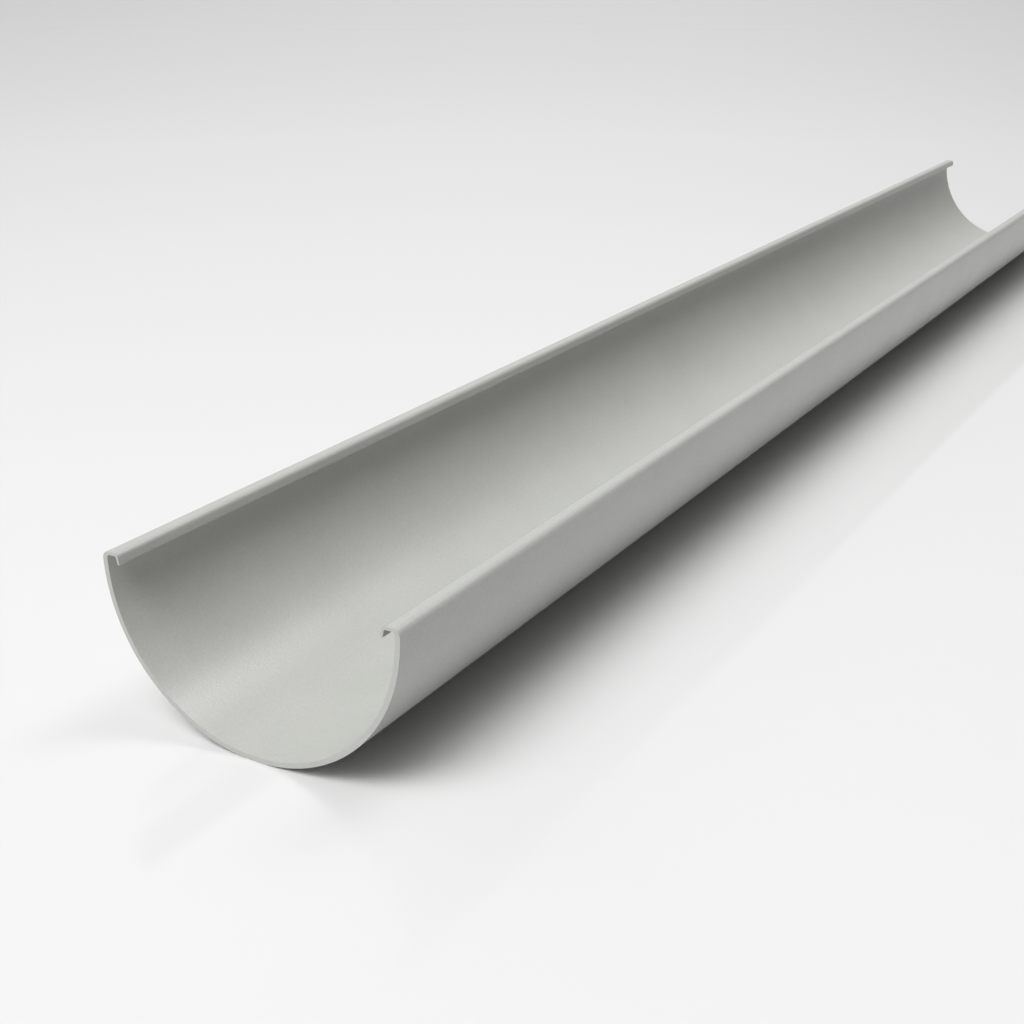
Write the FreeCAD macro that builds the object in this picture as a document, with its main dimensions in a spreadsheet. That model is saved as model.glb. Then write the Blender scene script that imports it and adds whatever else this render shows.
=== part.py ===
import FreeCAD, Part
import math
import os
import Sketcher

# Half-round rain gutter, one straight length of extruded rigid plastic.
# Frame: X runs along the gutter, Y across it and Z up. The origin is on the floor, under the
# middle of the length, where the round bottom touches.
#
# Section: a half round of even wall, which goes straight up for rim_rise to a hooked rim. The rim
# turns inwards over a rounded shoulder, runs level for rim_width, and bends down into a thin lip
# that leans towards the middle. Wall, rim and lip leave a slot where brackets and unions clip on.

# Driving dimensions in millimetres, and the lean of the lip in degrees
SIZES = {
    "gutter_length": 1000.0,
    "outer_width": 120.0,
    "wall_thickness": 1.9,
    "rim_rise": 2.7,
    "least_upright": 0.05,
    "rim_width": 6.5,
    "rim_thickness": 1.2,
    "lip_depth": 4.1,
    "lip_thickness": 0.9,
    "lip_lean": 10.0,
    "shoulder_radius": 2.6,
    "hook_corner_radius": 1.0,
    "lip_bend_radius": 1.0,
    "lip_root_radius": 0.5,
    "lip_tip_radius": 0.35,
}

doc = FreeCAD.newDocument("gutter_section")


def make_size_sheet():
    """Write each driving dimension in a cell of its own, named by its alias."""
    sheet = doc.addObject("Spreadsheet::Sheet", "sizes")
    for row, (name, value) in enumerate(SIZES.items(), start=1):
        sheet.set("A%d" % row, name)
        sheet.set("B%d" % row, str(value))
        sheet.setAlias("B%d" % row, name)
    doc.recompute()
    return sheet


def section_corners(sheet):
    """The sharp corners of the right half of the section, as (across, up) in millimetres."""
    radius = sheet.outer_width / 2
    top = radius + sheet.rim_rise
    ceiling = top - sheet.rim_thickness
    wall_inside = radius - sheet.wall_thickness
    lean = math.radians(sheet.lip_lean)
    lip_across = sheet.lip_thickness / math.cos(lean)
    bend = radius - sheet.rim_width
    tip = bend - sheet.lip_depth * math.tan(lean)
    root = bend - sheet.rim_thickness * math.tan(lean) + lip_across
    return {
        "wall_foot": (radius, radius),
        "shoulder": (radius, top),
        "bend": (bend, top),
        "tip_inside": (tip, top - sheet.lip_depth),
        "tip_outside": (tip + lip_across, top - sheet.lip_depth),
        "lip_root": (root, ceiling),
        "hook_corner": (wall_inside, ceiling),
        "inner_wall_foot": (wall_inside, radius),
    }


def draw_outline(sketch, sheet):
    """Draw the closed right half of the section, and return its lines and rounds by name."""
    corner = {name: FreeCAD.Vector(across, up, 0)
              for name, (across, up) in section_corners(sheet).items()}
    radius = sheet.outer_width / 2
    middle = FreeCAD.Vector(0, radius, 0)
    upwards = FreeCAD.Vector(0, 0, 1)

    def quarter_round(arc_radius):
        circle = Part.Circle(middle, upwards, arc_radius)
        return sketch.addGeometry(Part.ArcOfCircle(circle, -math.pi / 2, 0), False)

    def line(first, last):
        return sketch.addGeometry(Part.LineSegment(first, last), False)

    outline = {"outer_round": quarter_round(radius)}
    outline["wall_outside"] = line(corner["wall_foot"], corner["shoulder"])
    outline["rim_top"] = line(corner["shoulder"], corner["bend"])
    outline["lip_inside"] = line(corner["bend"], corner["tip_inside"])
    outline["lip_tip"] = line(corner["tip_inside"], corner["tip_outside"])
    outline["lip_outside"] = line(corner["tip_outside"], corner["lip_root"])
    outline["hook_ceiling"] = line(corner["lip_root"], corner["hook_corner"])
    outline["wall_inside"] = line(corner["hook_corner"], corner["inner_wall_foot"])
    outline["inner_round"] = quarter_round(radius - sheet.wall_thickness)
    outline["middle_cut"] = line(FreeCAD.Vector(0, sheet.wall_thickness, 0), FreeCAD.Vector())
    return outline


def start(line):
    return (line, 1)


def end(line):
    return (line, 2)


def centre(round_line):
    return (round_line, 3)


def tie_outline(sketch, outline):
    """Join the lines end to end, and hold them level, upright, parallel or tangent."""
    horizontal_axis = -1

    def tie(kind, *places):
        sketch.addConstraint(Sketcher.Constraint(kind, *places))

    rim = ["wall_outside", "rim_top", "lip_inside", "lip_tip", "lip_outside",
           "hook_ceiling", "wall_inside"]
    for before, after in zip(rim, rim[1:]):
        tie("Coincident", *end(outline[before]), *start(outline[after]))
    for level in ("rim_top", "lip_tip", "hook_ceiling"):
        tie("Horizontal", outline[level])
    for upright in ("wall_outside", "wall_inside", "middle_cut"):
        tie("Vertical", outline[upright])
    tie("Parallel", outline["lip_inside"], outline["lip_outside"])

    outer_round = outline["outer_round"]
    inner_round = outline["inner_round"]
    tie("Coincident", *start(outer_round), *start(horizontal_axis))
    tie("Vertical", *start(outer_round), *centre(outer_round))
    tie("Coincident", *centre(inner_round), *centre(outer_round))
    tie("Tangent", *end(outer_round), *start(outline["wall_outside"]))
    tie("Tangent", *end(outline["wall_inside"]), *end(inner_round))
    tie("Coincident", *start(inner_round), *start(outline["middle_cut"]))
    tie("Coincident", *start(outer_round), *end(outline["middle_cut"]))


def measure_outline(sketch, outline):
    """Bind each measure of the section to the driving dimensions."""
    upper_end = start(outline["rim_top"])
    inner_end = end(outline["rim_top"])
    lip_root = start(outline["hook_ceiling"])
    hook_corner = end(outline["hook_ceiling"])
    lip_tip = end(outline["lip_inside"])
    wall_foot = start(outline["wall_outside"])
    measures = (
        ("outer_radius", "Radius", (outline["outer_round"],), "sizes.outer_width / 2"),
        ("inner_radius", "Radius", (outline["inner_round"],),
         "sizes.outer_width / 2 - sizes.wall_thickness"),
        ("rim_rise", "DistanceY", (*wall_foot, *upper_end), "sizes.rim_rise"),
        ("rim_width", "DistanceX", (*inner_end, *upper_end), "sizes.rim_width"),
        ("rim_thickness", "DistanceY", (*hook_corner, *upper_end), "sizes.rim_thickness"),
        ("lip_depth", "DistanceY", (*lip_tip, *inner_end), "sizes.lip_depth"),
        ("lip_inset", "DistanceX", (*lip_tip, *inner_end),
         "sizes.lip_depth * tan(sizes.lip_lean * 1 deg)"),
        ("lip_thickness", "Distance", (*lip_root, outline["lip_inside"]), "sizes.lip_thickness"),
    )
    for name, kind, places, expression in measures:
        as_drawn = sketch.evalExpression(expression)
        index = sketch.addConstraint(Sketcher.Constraint(kind, *places, as_drawn))
        sketch.renameConstraint(index, name)
        sketch.setExpression("Constraints." + name, expression)


def origin_plane(body, role):
    """The body's own origin plane of the given role."""
    for feature in body.Origin.OriginFeatures:
        if feature.Role == role:
            return feature


def extrude_section(body, sheet):
    """Push the half section out to the gutter's length, and mirror it to the other side."""
    sketch = body.newObject("Sketcher::SketchObject", "half_section")
    sketch.AttachmentSupport = (origin_plane(body, "YZ_Plane"), [""])
    sketch.MapMode = "FlatFace"
    outline = draw_outline(sketch, sheet)
    tie_outline(sketch, outline)
    measure_outline(sketch, outline)

    half = body.newObject("PartDesign::Pad", "half_gutter")
    half.Profile = sketch
    half.Midplane = True
    half.setExpression("Length", "sizes.gutter_length")
    mirrored = body.newObject("PartDesign::Mirrored", "whole_gutter")
    mirrored.Originals = [half]
    mirrored.MirrorPlane = (origin_plane(body, "XZ_Plane"), [""])
    body.Tip = mirrored
    doc.recompute()
    return mirrored


def edges_along_gutter(shape, places):
    """Names of the edges that run along X at the (across, up) places, on both sides."""
    same_place = 1e-4
    names = []
    for index, edge in enumerate(shape.Edges, start=1):
        first = edge.Vertexes[0].Point
        last = edge.Vertexes[-1].Point
        runs_along = abs(first.x - last.x) > abs(first.y - last.y) + abs(first.z - last.z)
        nearest = min(math.hypot(abs(first.y) - across, first.z - up) for across, up in places)
        if runs_along and nearest < same_place:
            names.append("Edge%d" % index)
    return names


def round_corners(body, base, name, places, radius):
    """Round the edges at the given corners to the radius that the expression gives."""
    fillet = body.newObject("PartDesign::Fillet", name)
    fillet.Base = (base, edges_along_gutter(base.Shape, places))
    fillet.setExpression("Radius", radius)
    body.Tip = fillet
    doc.recompute()
    return fillet


def make_gutter(sheet):
    """The whole gutter: section, length, second side, then the rounds of the rim's corners."""
    body = doc.addObject("PartDesign::Body", "gutter_section")
    body.Label = "gutter_section"
    body.Placement = FreeCAD.Placement()
    feature = extrude_section(body, sheet)
    corners = section_corners(sheet)
    # The shoulder's round ends on the upright wall, of which least_upright stays straight
    shoulder_radius = "min(sizes.shoulder_radius; sizes.rim_rise - sizes.least_upright)"
    rounds = (
        ("shoulder_rounds", ("shoulder",), shoulder_radius),
        ("hook_corner_rounds", ("hook_corner",), "sizes.hook_corner_radius"),
        ("lip_bend_rounds", ("bend",), "sizes.lip_bend_radius"),
        ("lip_root_rounds", ("lip_root",), "sizes.lip_root_radius"),
        ("lip_tip_rounds", ("tip_inside", "tip_outside"), "sizes.lip_tip_radius"),
    )
    for name, corner_names, radius in rounds:
        places = [corners[corner_name] for corner_name in corner_names]
        feature = round_corners(body, feature, name, places, radius)
    return body


def check_document(bodies):
    """Stop if any feature failed or any piece is not one sound solid."""
    for item in doc.Objects:
        if "Invalid" in item.State or "Error" in item.State:
            raise RuntimeError("%s failed: %s" % (item.Name, item.State))
    for body in bodies:
        if body.Shape.isNull() or not body.Shape.isValid() or len(body.Shape.Solids) != 1:
            raise RuntimeError("%s is not one sound solid" % body.Label)


def export_parts(bodies):
    """Write one STEP file for each piece, and print its size."""
    os.makedirs("parts", exist_ok=True)
    for body in bodies:
        body.Shape.exportStep("parts/%s.step" % body.Label)
        box = body.Shape.BoundBox
        cubic_centimetres = body.Shape.Volume / 1000
        print("%s: %.2f x %.2f x %.2f mm, %.1f cm3, %d faces" % (
            body.Label, box.XLength, box.YLength, box.ZLength,
            cubic_centimetres, len(body.Shape.Faces)))


size_sheet = make_size_sheet()
pieces = [make_gutter(size_sheet)]
doc.recompute()
check_document(pieces)
export_parts(pieces)
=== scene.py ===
# %% [markdown]
# A length of half-round rain gutter lies on a plain pale floor. The real thing is one piece of
# rigid plastic, pushed through a die as one endless section and sawn square at both ends. This
# lesson models that section by hand, draws it out to its length, rounds the corners of its
# hooked rims, gives it its two finishes, the satin skin and the sawn ends, and lights it softly.

# %% Load the fixed frame
import math

import bmesh
import bpy
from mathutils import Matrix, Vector


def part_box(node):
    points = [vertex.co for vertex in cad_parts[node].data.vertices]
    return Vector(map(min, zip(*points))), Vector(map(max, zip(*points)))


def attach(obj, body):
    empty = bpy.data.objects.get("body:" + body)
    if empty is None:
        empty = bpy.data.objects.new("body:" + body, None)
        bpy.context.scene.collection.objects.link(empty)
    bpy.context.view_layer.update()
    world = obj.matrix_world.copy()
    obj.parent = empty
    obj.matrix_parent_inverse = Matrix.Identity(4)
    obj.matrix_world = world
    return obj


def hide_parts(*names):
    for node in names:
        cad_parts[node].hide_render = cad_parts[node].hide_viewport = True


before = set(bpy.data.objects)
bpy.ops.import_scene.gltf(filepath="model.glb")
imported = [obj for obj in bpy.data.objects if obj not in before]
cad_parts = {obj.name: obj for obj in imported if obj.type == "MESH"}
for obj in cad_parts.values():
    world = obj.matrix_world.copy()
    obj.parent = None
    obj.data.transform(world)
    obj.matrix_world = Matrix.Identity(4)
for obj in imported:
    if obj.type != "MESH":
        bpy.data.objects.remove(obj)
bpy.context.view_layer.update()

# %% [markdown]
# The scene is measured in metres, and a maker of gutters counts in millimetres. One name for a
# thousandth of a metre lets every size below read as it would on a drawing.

MM = 0.001
scene = bpy.context.scene

# %% [markdown]
# The camera comes first, so that every later step can be judged through it. The photograph was
# taken from a little above the rim, at the open end, with a lens slightly longer than normal.
# Its place is measured from the near end of the gutter, where the perspective is strongest. By
# hand it would be aimed through the viewport, and here a direction in numbers does the same.

# %% Camera
CAMERA_PLACE = (-0.8289, -0.2940, 0.2589)
CAMERA_FORWARD = (0.7998, 0.4750, -0.3669)
CAMERA_ROLL = math.radians(-0.10)
LENS = 53.12
SENSOR = 36.0
NEAREST_SEEN = 0.01
FARTHEST_SEEN = 60.0


def add_camera(place, forward, roll):
    """A camera at the given place that looks along forward, turned by roll about its own axis."""
    data = bpy.data.cameras.new("photo_camera")
    data.lens = LENS
    data.sensor_width = SENSOR
    data.clip_start = NEAREST_SEEN
    data.clip_end = FARTHEST_SEEN
    camera = bpy.data.objects.new("photo_camera", data)
    scene.collection.objects.link(camera)
    camera.rotation_euler = Vector(forward).to_track_quat("-Z", "Y").to_euler()
    camera.rotation_euler.rotate_axis("Z", roll)
    camera.location = place
    return camera


scene.camera = add_camera(CAMERA_PLACE, CAMERA_FORWARD, CAMERA_ROLL)
print("camera at", [round(value, 3) for value in scene.camera.location])

# %% [markdown]
# These are the sizes of the real section. The box of the fixed part gives the length, the width
# and the height, and the rest is named here once, so that each step below can be read as an
# instruction to a maker. The places that follow from them are measured across from the middle
# of the gutter and up from the floor.

# %% Sizes of the section
low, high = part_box("gutter_section")
near_x = low[0]
gutter_length = high[0] - low[0]
outer_radius = (high[1] - low[1]) / 2
rim_top = high[2]

wall = 1.9 * MM
rim_width = 6.5 * MM
rim_thickness = 1.2 * MM
lip_depth = 4.1 * MM
lip_thickness = 0.9 * MM
lip_lean = math.radians(10)

shoulder_radius = 2.6 * MM
hook_corner_radius = 1.0 * MM
lip_bend_radius = 1.9 * MM
lip_root_radius = 0.5 * MM
lip_tip_radius = 0.35 * MM

lip_across = lip_thickness / math.cos(lip_lean)
ceiling = rim_top - rim_thickness
lip_foot = rim_top - lip_depth
bend = outer_radius - rim_width
root = bend - rim_thickness * math.tan(lip_lean) + lip_across
tip_inside = bend - lip_depth * math.tan(lip_lean)
tip_outside = tip_inside + lip_across
print("section %.1f mm wide, %.1f mm high" % (2 * outer_radius / MM, rim_top / MM))

# %% [markdown]
# The section is drawn first as a flat strip of quads, the shape that shows on the sawn end. It
# starts as one small plane across the wall at the bottom. Only the edge of it is kept, and Spin
# sweeps that edge through a quarter circle: this gives an exact round, with even quads whose
# seams run straight along the gutter later. A cylinder cut in half would give the round as well,
# but not the hooked rim, whose wall changes thickness twice.


# %% Helpers for selecting by place
CLOSE = 0.01 * MM


def deselect_everything():
    """Deselect every object, so that the next operator acts on the new one alone."""
    bpy.ops.object.select_all(action="DESELECT")


def select_points(wanted):
    """In edit mode, select the points whose place passes the test, with what joins them."""
    mesh = bmesh.from_edit_mesh(bpy.context.object.data)
    for point in mesh.verts:
        point.select_set(wanted(point.co))
    mesh.select_flush_mode()
    bmesh.update_edit_mesh(bpy.context.object.data)


def move_point(place, target):
    """In edit mode, take the point at the (across, up) place to its target."""
    select_points(lambda co: math.hypot(co.y - place[0], co.z - place[1]) < CLOSE)
    bpy.ops.transform.translate(value=(0, target[0] - place[0], target[1] - place[1]))


# %% Half of the half round
ROUND_STEPS = 64

deselect_everything()
bpy.ops.mesh.primitive_plane_add(size=wall, location=(near_x, -wall / 2, wall / 2),
                                 rotation=(0, math.pi / 2, 0))
gutter = bpy.context.object
gutter.name = "half_round_gutter"
bpy.ops.object.transform_apply(location=True, rotation=True, scale=True)

bpy.ops.object.mode_set(mode="EDIT")
bpy.ops.mesh.select_mode(type="VERT")
select_points(lambda co: co.y < -wall / 2)
bpy.ops.mesh.delete(type="VERT")
bpy.ops.mesh.select_all(action="SELECT")
bpy.ops.mesh.spin(steps=ROUND_STEPS, angle=-math.pi / 2, axis=(1, 0, 0),
                  center=(near_x, 0, outer_radius))
print("quarter round in %d steps" % ROUND_STEPS)

# %% [markdown]
# At the top of the round the strip goes straight up and turns in over the shoulder, runs level,
# and turns down into the thin lip. Each stretch is one extrusion of the strip's last edge. Its
# two points then move to the mitre of the next corner, so that the inner and the outer corner
# can each get a round of its own. A centre line thickened by Solidify would be quicker, but it
# gives one thickness, and here wall, rim and lip each have their own.


# %% The hooked rim
def extrude_to(old_outer, old_inner, new_outer, new_inner):
    """Extrude the strip's last edge, and place its outer and its inner point."""
    select_points(lambda co: min(
        math.hypot(co.y - old_outer[0], co.z - old_outer[1]),
        math.hypot(co.y - old_inner[0], co.z - old_inner[1])) < CLOSE)
    step = (new_outer[0] - old_outer[0], new_outer[1] - old_outer[1])
    bpy.ops.mesh.extrude_region_move(TRANSFORM_OT_translate={"value": (0, *step)})
    move_point((old_inner[0] + step[0], old_inner[1] + step[1]), new_inner)


wall_foot = ((outer_radius, outer_radius), (outer_radius - wall, outer_radius))
shoulder = ((outer_radius, rim_top), (outer_radius - wall, ceiling))
lip_bend = ((bend, rim_top), (root, ceiling))
lip_tip = ((tip_inside, lip_foot), (tip_outside, lip_foot))
for last, following in ((wall_foot, shoulder), (shoulder, lip_bend), (lip_bend, lip_tip)):
    extrude_to(*last, *following)
bpy.ops.object.mode_set(mode="OBJECT")
print("half section: %d faces" % len(gutter.data.polygons))

# %% [markdown]
# The other half is the same, so a Mirror modifier makes it and joins the two at the bottom. It
# could be drawn by hand like the first one, but then a later change would have to be made twice.
# After that the whole flat section is extruded once, by the gutter's length. That is what the
# die does with the real one, and it keeps the two ends exactly alike.

# %% Mirror the section and draw it out
mirror = gutter.modifiers.new("other_half", "MIRROR")
mirror.use_axis = (False, True, False)
mirror.use_mirror_merge = True
mirror.merge_threshold = CLOSE
bpy.ops.object.modifier_apply(modifier=mirror.name)

bpy.ops.object.mode_set(mode="EDIT")
bpy.ops.mesh.select_all(action="SELECT")
bpy.ops.mesh.extrude_region_move(TRANSFORM_OT_translate={"value": (gutter_length, 0, 0)})
bpy.ops.mesh.select_all(action="SELECT")
bpy.ops.mesh.remove_doubles(threshold=CLOSE / 10)
bpy.ops.mesh.normals_make_consistent(inside=False)
bpy.ops.object.mode_set(mode="OBJECT")
print("drawn out: %d faces" % len(gutter.data.polygons))

# %% [markdown]
# Plastic leaves the die with every corner rounded, and those rounds carry the bright lines that
# run along the rims. A Bevel modifier would round them all alike, so the Bevel tool takes them
# one corner at a time, each with its own radius. It wants the distance from the old edge to
# where the round begins. At a right angle that is the radius, and at the leaning lip it is the
# radius times the tangent of half the turn.


# %% Round the corners of the rims
ROUND_PROFILE = 0.5


def select_long_edges(place):
    """In edit mode, select the edges along the gutter at the (across, up) place, on both sides."""
    mesh = bmesh.from_edit_mesh(bpy.context.object.data)
    for edge in mesh.edges:
        here = [math.hypot(abs(end.co.y) - place[0], end.co.z - place[1]) for end in edge.verts]
        along = abs(edge.verts[0].co.x - edge.verts[1].co.x) > gutter_length / 2
        edge.select_set(along and max(here) < CLOSE)
    bmesh.update_edit_mesh(bpy.context.object.data)


square_turn = math.pi / 2
open_turn = square_turn - lip_lean
tight_turn = square_turn + lip_lean
# Each corner with its radius, how far the wall turns there, and the steps of its round
corners = (
    (shoulder[0], shoulder_radius, square_turn, 12),
    (shoulder[1], hook_corner_radius, square_turn, 8),
    (lip_bend[0], lip_bend_radius, open_turn, 8),
    (lip_bend[1], lip_root_radius, open_turn, 4),
    (lip_tip[0], lip_tip_radius, tight_turn, 6),
    (lip_tip[1], lip_tip_radius, open_turn, 6),
)
bpy.ops.object.mode_set(mode="EDIT")
bpy.ops.mesh.select_mode(type="EDGE")
for place, radius, turn, steps in corners:
    select_long_edges(place)
    bpy.ops.mesh.bevel(offset_type="OFFSET", offset=radius * math.tan(turn / 2), segments=steps,
                       profile=ROUND_PROFILE, affect="EDGES", clamp_overlap=False)
bpy.ops.object.mode_set(mode="OBJECT")
print("rounded: %d faces" % len(gutter.data.polygons))

# %% [markdown]
# A saw leaves the ends square and crisp, while the rounds run smoothly into the straight parts.
# The shading has to tell the two apart. Smooth shading everywhere would bend the light round the
# edge of the sawn end as if it had melted, and flat shading would show every strip of the half
# round. So the mesh is shaded smooth across shallow angles only. Before that its faces are all
# turned outwards once more.

# %% Turn the faces outwards and shade them
SMOOTH_UP_TO = math.radians(30)

bpy.ops.object.mode_set(mode="EDIT")
bpy.ops.mesh.select_all(action="SELECT")
bpy.ops.mesh.normals_make_consistent(inside=False)
bpy.ops.object.mode_set(mode="OBJECT")
bpy.ops.object.shade_smooth_by_angle(angle=SMOOTH_UP_TO)
print("gutter: %d points, %d faces" % (len(gutter.data.vertices), len(gutter.data.polygons)))

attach(gutter, "root")
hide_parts("gutter_section")

# %% [markdown]
# Each effect of a finish is a small node group of its own, with named inputs, so that it can be
# used again with other values. The first one is the grain of the plastic. Rigid plastic that has
# been drawn out of a die and cooled in air isn't glossy: its skin is finely pebbled. A picture
# of such a skin would repeat itself and show seams. Two sizes of noise don't: a fine one makes
# the pebbles, and a wide one the cloudy differences from place to place. Both are taken from
# the object's own coordinates, so they stay on the gutter from whatever side it is seen.


# %% Helpers for node trees
def feed(tree, socket, value):
    """Link the socket to another one, or write a plain value in it."""
    if isinstance(value, bpy.types.NodeSocket):
        tree.links.new(value, socket)
    else:
        socket.default_value = value


def new_group(name, inputs, outputs):
    """A shader node group. Its inputs and outputs are given as name and kind, Float or Vector."""
    group = bpy.data.node_groups.new(name, "ShaderNodeTree")
    for way, sockets in (("INPUT", inputs), ("OUTPUT", outputs)):
        for socket_name, kind in sockets.items():
            group.interface.new_socket(socket_name, in_out=way, socket_type="NodeSocket" + kind)
    return group, group.nodes.new("NodeGroupInput"), group.nodes.new("NodeGroupOutput")


def add_math(tree, operation, first, second):
    """The result of a math node of two inputs, each a socket or a number."""
    node = tree.nodes.new("ShaderNodeMath")
    node.operation = operation
    feed(tree, node.inputs[0], first)
    feed(tree, node.inputs[1], second)
    return node.outputs["Value"]


def stretched_noise(tree, scale, detail):
    """Noise on the object's own coordinates, with a scale of its own along X, Y and Z."""
    place = tree.nodes.new("ShaderNodeTexCoord")
    stretch = tree.nodes.new("ShaderNodeMapping")
    noise = tree.nodes.new("ShaderNodeTexNoise")
    feed(tree, stretch.inputs["Vector"], place.outputs["Object"])
    feed(tree, stretch.inputs["Scale"], scale)
    feed(tree, noise.inputs["Vector"], stretch.outputs["Vector"])
    feed(tree, noise.inputs["Scale"], 1.0)
    feed(tree, noise.inputs["Detail"], detail)
    return noise.outputs["Fac"]


# %% The grain of the skin
PEBBLE = 0.9 * MM
CLOUD = 35 * MM
SOFT_NOISE = 2.0
RAGGED_NOISE = 3.0
MIDDLE = 0.5

grain_group, grain_in, grain_out = new_group("skin_grain", {"Pebbles": "Float", "Clouds": "Float"},
                                             {"Pebbles": "Float", "Clouds": "Float"})
for name, size, detail in (("Pebbles", PEBBLE, SOFT_NOISE), ("Clouds", CLOUD, RAGGED_NOISE)):
    noise = stretched_noise(grain_group, (1 / size, 1 / size, 1 / size), detail)
    spread = add_math(grain_group, "SUBTRACT", noise, MIDDLE)
    feed(grain_group, grain_out.inputs[name],
         add_math(grain_group, "MULTIPLY", spread, grain_in.outputs[name]))
print("pebbles of %.1f mm, clouds of %.0f mm" % (PEBBLE / MM, CLOUD / MM))

# %% [markdown]
# The second effect is what the die leaves. Its lips are never quite even, so very faint lines run
# the whole length of the gutter, in the direction of the draw. A Wave texture would make them as
# regular as a comb. The same noise as before, hardly changing along X and quickly across it,
# makes them as uneven as the real ones.

# %% Lines along the draw
LINE_PITCH = 1.6 * MM
LINE_LENGTH = 900 * MM

draw_group, draw_in, draw_out = new_group("draw_lines", {"Depth": "Float"}, {"Height": "Float"})
line_noise = stretched_noise(draw_group, (1 / LINE_LENGTH, 1 / LINE_PITCH, 1 / LINE_PITCH),
                             SOFT_NOISE)
feed(draw_group, draw_out.inputs["Height"],
     add_math(draw_group, "MULTIPLY", line_noise, draw_in.outputs["Depth"]))
print("draw lines %.1f mm apart" % (LINE_PITCH / MM))

# %% [markdown]
# The third effect belongs to the sawn ends. The teeth of a fine saw leave close parallel marks,
# all in the direction in which the blade went through, here straight down. The marks are
# shallow, but they break up the light, so a sawn face looks duller than the skin. Its colour is
# also painted slightly darker, most in the grooves: that is painted shade. The marks are finer
# than the mesh could carry without thousands of faces, so they are noise as well, this time
# stretched downwards.

# %% Marks of the saw
TOOTH_PITCH = 0.45 * MM
STROKE = 14 * MM

saw_group, saw_in, saw_out = new_group("saw_marks", {"Depth": "Float"}, {"Height": "Float"})
saw_noise = stretched_noise(saw_group, (1 / STROKE, 1 / TOOTH_PITCH, 1 / STROKE), RAGGED_NOISE)
feed(saw_group, saw_out.inputs["Height"],
     add_math(saw_group, "MULTIPLY", saw_noise, saw_in.outputs["Depth"]))
print("saw marks %.2f mm apart" % (TOOTH_PITCH / MM))

# %% [markdown]
# The plastic is coloured all through, a light grey with a touch of warm green. Its skin is
# satin: rough enough to spread the light wide, smooth enough to show a soft sheen in the trough
# and along the rims. A Coat on top would read as lacquer, which such stock doesn't have, so the
# sheen comes from the roughness alone. Clouds and pebbles change the colour by a few hundredths,
# the clouds change the satin a little too, and the pebbles and the draw lines tilt the surface
# through Bump.


# %% Helpers for materials
def new_material(name):
    """A new material with nodes, and its Principled shader."""
    material = bpy.data.materials.new(name)
    material.use_nodes = True
    return material, material.node_tree.nodes["Principled BSDF"]


def use_group(tree, group, **values):
    """The node group placed in a tree, with its inputs set by name."""
    node = tree.nodes.new("ShaderNodeGroup")
    node.node_tree = group
    for name, value in values.items():
        feed(tree, node.inputs[name], value)
    return node


def vary_colour(tree, shader, low, high, by):
    """Mix the base colour between two colours by a factor socket."""
    mix = tree.nodes.new("ShaderNodeMix")
    mix.data_type = "RGBA"
    feed(tree, mix.inputs["A"], (*low, 1))
    feed(tree, mix.inputs["B"], (*high, 1))
    feed(tree, mix.inputs["Factor"], by)
    feed(tree, shader.inputs["Base Color"], mix.outputs["Result"])


def add_bump(tree, shader, height, distance):
    """Tilt the shader's surface by a height socket, where 1 is as high as the distance."""
    bump = tree.nodes.new("ShaderNodeBump")
    feed(tree, bump.inputs["Distance"], distance)
    feed(tree, bump.inputs["Height"], height)
    feed(tree, shader.inputs["Normal"], bump.outputs["Normal"])


# %% The satin skin
PLASTIC = (0.485, 0.491, 0.464)
CONTRAST = 0.12
PEBBLES_SEEN = 0.8
CLOUDS_SEEN = 0.4
LINES_SEEN = 0.1
PEBBLE_HEIGHT = 0.08 * MM
SATIN = 0.24
CLOUDS_IN_SATIN = 0.2
IOR_PLASTIC = 1.53
plastic_low = [channel * (1 - CONTRAST) for channel in PLASTIC]
plastic_high = [channel * (1 + CONTRAST) for channel in PLASTIC]

skin, skin_shader = new_material("extruded_skin")
skin_tree = skin.node_tree
grain = use_group(skin_tree, grain_group, Pebbles=PEBBLES_SEEN, Clouds=CLOUDS_SEEN)
lines = use_group(skin_tree, draw_group, Depth=LINES_SEEN)
pebbles = grain.outputs["Pebbles"]
clouds = grain.outputs["Clouds"]

blotch = add_math(skin_tree, "ADD", pebbles, clouds)
vary_colour(skin_tree, skin_shader, plastic_low, plastic_high,
            add_math(skin_tree, "ADD", blotch, MIDDLE))
duller = add_math(skin_tree, "MULTIPLY", clouds, CLOUDS_IN_SATIN)
feed(skin_tree, skin_shader.inputs["Roughness"], add_math(skin_tree, "ADD", duller, SATIN))
feed(skin_tree, skin_shader.inputs["IOR"], IOR_PLASTIC)
add_bump(skin_tree, skin_shader, add_math(skin_tree, "ADD", pebbles, lines.outputs["Height"]),
         PEBBLE_HEIGHT)
print("skin: satin %.2f, pebbles %.2f mm high" % (SATIN, PEBBLE_HEIGHT / MM))

# %% [markdown]
# The sawn faces are the same plastic, nearly without sheen, and painted up to a twentieth darker,
# most in the grooves, as painted shade.
# A gutter has one mesh but two finishes, so it gets two material slots, and each face says which
# one it wears. The sawn faces are picked by their normal, which points along the gutter, and
# everything else keeps the skin.

# %% The sawn ends
PAINTED_GROOVE_SHADE = 0.95
GROOVE_DEPTH = 0.05 * MM
SAWN_ROUGHNESS = 0.7
FULL_DEPTH = 1.0
FACES_ALONG = 0.9

sawn, sawn_shader = new_material("sawn_end")
sawn_tree = sawn.node_tree
marks = use_group(sawn_tree, saw_group, Depth=FULL_DEPTH)
# Painted shade: the sawn faces are painted up to a twentieth darker, most in the grooves.
vary_colour(sawn_tree, sawn_shader, [channel * PAINTED_GROOVE_SHADE for channel in PLASTIC], PLASTIC,
            marks.outputs["Height"])
feed(sawn_tree, sawn_shader.inputs["Roughness"], SAWN_ROUGHNESS)
feed(sawn_tree, sawn_shader.inputs["IOR"], IOR_PLASTIC)
add_bump(sawn_tree, sawn_shader, marks.outputs["Height"], GROOVE_DEPTH)

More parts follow.
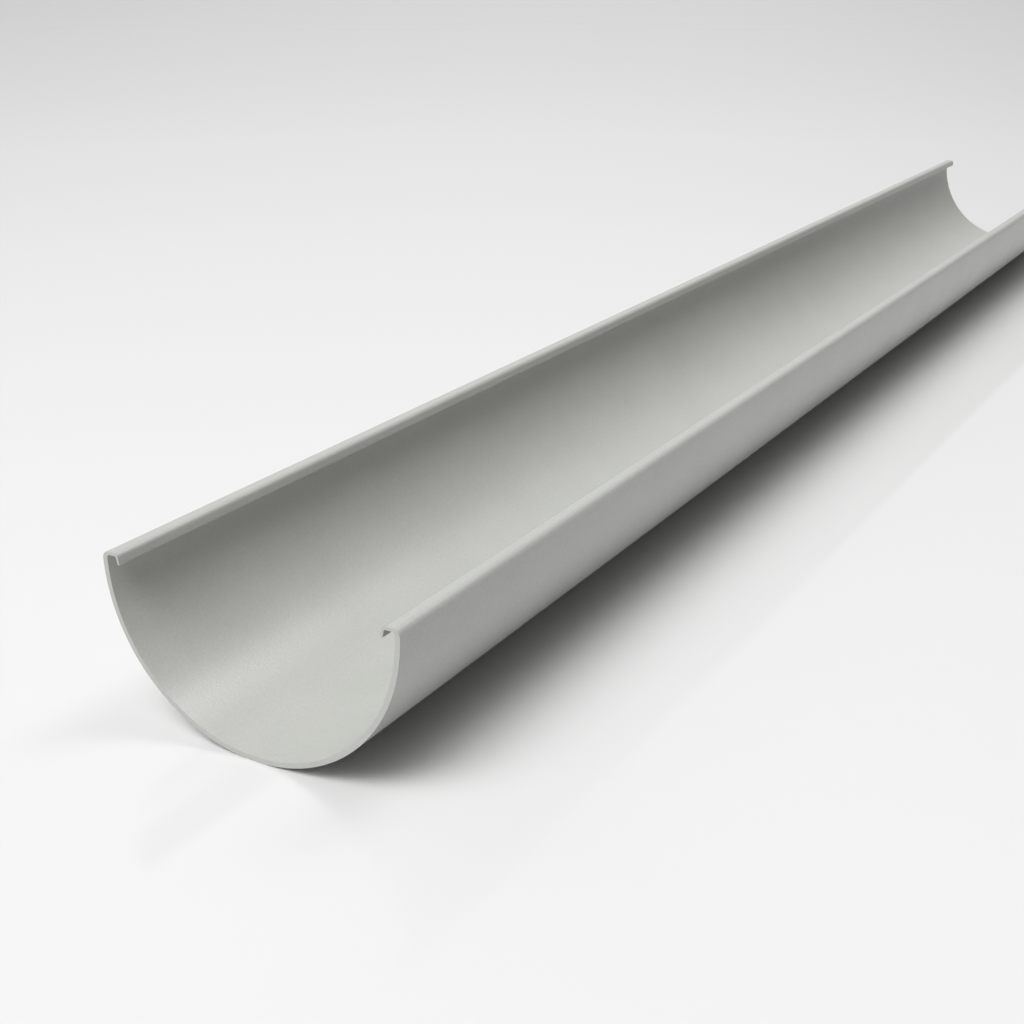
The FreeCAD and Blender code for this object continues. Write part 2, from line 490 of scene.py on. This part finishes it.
gutter.data.materials.clear()
gutter.data.materials.append(skin)
gutter.data.materials.append(sawn)
sawn_faces = [face for face in gutter.data.polygons if abs(face.normal.x) > FACES_ALONG]
for face in sawn_faces:
    face.material_index = 1
print("sawn faces: %d of %d" % (len(sawn_faces), len(gutter.data.polygons)))

# %% [markdown]
# The floor is the sweep of a photo studio: a plain white sheet with a smooth face, in which the
# gutter and the studio are faintly mirrored. That is why it gets a little darker with the
# distance. A real sweep curves up at the back, but the camera doesn't look that far, so one
# large plane will do. It isn't part of the object.

# %% Floor
FLOOR_SIZE = 30.0
FLOOR_WHITE = 0.745
FLOOR_ROUGHNESS = 0.06

deselect_everything()
bpy.ops.mesh.primitive_plane_add(size=FLOOR_SIZE, location=(0, 0, 0))
floor = bpy.context.object
floor.name = "studio_floor"
sheet, sheet_shader = new_material("white_sheet")
sheet_shader.inputs["Base Color"].default_value = (FLOOR_WHITE, FLOOR_WHITE, FLOOR_WHITE, 1)
sheet_shader.inputs["Roughness"].default_value = FLOOR_ROUGHNESS
floor.data.materials.append(sheet)
print("floor %.0f m across" % FLOOR_SIZE)

# %% [markdown]
# The light comes from the studio all round, so it is made in the world: soft patches of light,
# each strongest in one direction and fading smoothly away from it. The two strongest hang high
# above the open end and a third hangs high above the far end. Together they light the trough and
# the rims. Weaker patches stand lower and fill the shadows: on the left, on the right and behind
# the far end, and one so wide that it is the whole pale left side of the studio. The right gets
# the least light, which is why the outer wall on that side is darker than the trough. Lamps with
# an edge would do as well, but the satin plastic and the floor would show that edge.


# %% A soft patch of light
def add_vector_math(tree, operation, *values):
    """The outputs of a vector math node, whose inputs are sockets or three numbers each."""
    node = tree.nodes.new("ShaderNodeVectorMath")
    node.operation = operation
    for socket, value in zip(node.inputs, values):
        feed(tree, socket, value)
    return node.outputs


soft_group, soft_in, soft_out = new_group(
    "soft_light",
    {"Direction": "Vector", "Towards": "Vector", "Focus": "Float", "Strength": "Float"},
    {"Light": "Float"})
facing = add_vector_math(soft_group, "DOT_PRODUCT", soft_in.outputs["Direction"],
                         soft_in.outputs["Towards"])["Value"]
front = add_math(soft_group, "MAXIMUM", facing, 0.0)
fade = add_math(soft_group, "POWER", front, soft_in.outputs["Focus"])
feed(soft_group, soft_out.inputs["Light"],
     add_math(soft_group, "MULTIPLY", fade, soft_in.outputs["Strength"]))

# %% Soft lights in the world
# Each light with its azimuth and elevation in degrees, its focus and its strength
SOFT_LIGHTS = (
    ("over_the_open_end", 172, 54, 25.0, 11.21),
    ("high_over_the_open_end", 180, 60, 50.0, 6.60),
    ("high_over_the_far_end", -20, 58, 50.0, 6.26),
    ("on_the_left", 70, 35, 10.0, 0.61),
    ("low_on_the_right", 275, 28, 8.0, 0.34),
    ("low_behind_the_far_end", 25, 12, 5.0, 0.48),
    ("pale_left_side", 72, 0, 1.0, 0.17),
)


def direction_to(azimuth, elevation):
    """The direction of length 1 at an azimuth from +X towards +Y, and an elevation, in degrees."""
    level = math.cos(math.radians(elevation))
    return (level * math.cos(math.radians(azimuth)), level * math.sin(math.radians(azimuth)),
            math.sin(math.radians(elevation)))


world = bpy.data.worlds.new("studio")
scene.world = world
world.use_nodes = True
sky = world.node_tree
view_direction = sky.nodes.new("ShaderNodeTexCoord").outputs["Generated"]
total = 0.0
for name, azimuth, elevation, focus, strength in SOFT_LIGHTS:
    lamp = use_group(sky, soft_group, Direction=view_direction,
                     Towards=direction_to(azimuth, elevation), Focus=focus, Strength=strength)
    lamp.name = name
    total = add_math(sky, "ADD", lamp.outputs["Light"], total)
print("%d soft lights" % len(SOFT_LIGHTS))

# %% [markdown]
# Low down, the walls of the studio are pale all round. The glossy floor mirrors them, and without
# them it would turn black towards the horizon wherever no patch of light is near. A direction
# without its height is as long as the cosine of its angle above the floor, so a high power of
# that length is a narrow band along the horizon.

# %% Pale walls round the horizon
WALL_LEVEL = 0.35
WALL_FOCUS = 60.0
WITHOUT_HEIGHT = (1, 1, 0)

flattened = add_vector_math(sky, "MULTIPLY", view_direction, WITHOUT_HEIGHT)["Vector"]
flat_length = add_vector_math(sky, "LENGTH", flattened)["Value"]
band = add_math(sky, "POWER", flat_length, WALL_FOCUS)
total = add_math(sky, "MAXIMUM", total, add_math(sky, "MULTIPLY", band, WALL_LEVEL))
print("pale walls at %.2f" % WALL_LEVEL)

# %% [markdown]
# A camera that looks past the floor must not see the patches of light themselves, so it gets a
# plain pale backdrop instead. The Light Path node tells which rays come straight from it.

# %% A plain pale backdrop for the camera
BACKDROP = 0.72

camera_ray = sky.nodes.new("ShaderNodeLightPath").outputs["Is Camera Ray"]
seen = sky.nodes.new("ShaderNodeMix")
seen.data_type = "FLOAT"
feed(sky, seen.inputs["Factor"], camera_ray)
feed(sky, seen.inputs["A"], total)
feed(sky, seen.inputs["B"], BACKDROP)
studio_light = sky.nodes["Background"]
feed(sky, studio_light.inputs["Color"], (1, 1, 1, 1))
feed(sky, studio_light.inputs["Strength"], seen.outputs["Result"])
scene.view_settings.view_transform = "Standard"
print("backdrop at %.2f" % BACKDROP)
